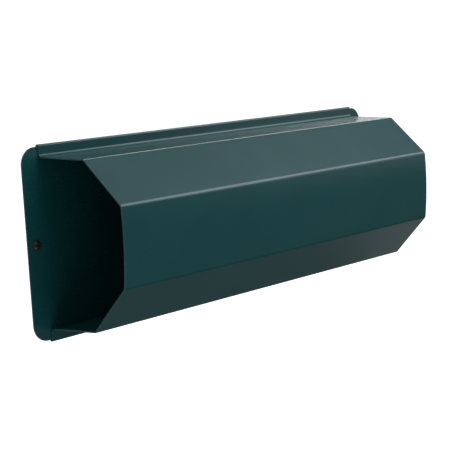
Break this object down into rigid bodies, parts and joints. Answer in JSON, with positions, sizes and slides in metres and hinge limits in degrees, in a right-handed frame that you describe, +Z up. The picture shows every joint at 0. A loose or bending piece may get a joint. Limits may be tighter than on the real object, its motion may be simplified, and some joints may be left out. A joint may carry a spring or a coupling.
{
  "type": "wall mounted newspaper holder",
  "caption": "Open-ended sheet steel mail and newspaper holder: a half-hexagonal folded shell hemmed on to a rounded back plate, held to a wall by screws.",
  "frame": {"origin": "middle of the wall face, half way between the two fixing screws, on the plane where the rear hem layers touch the wall", "axes": "+X along the holder to the viewer's right, +Y into the wall, +Z up; the front faces -Y"},
  "size_m": [0.39, 0.0821, 0.1344],
  "materials": {
    "plate_paint": "semi-gloss dark green powder coat",
    "shell_paint": "semi-gloss dark green powder coat",
    "black_screw": "black coated steel"
  },
  "bodies": {
    "root": {"back_plate": "plate_paint", "front_shell": "shell_paint", "left_fixing_screw": "black_screw", "right_fixing_screw": "black_screw"}
  },
  "joints": []
}
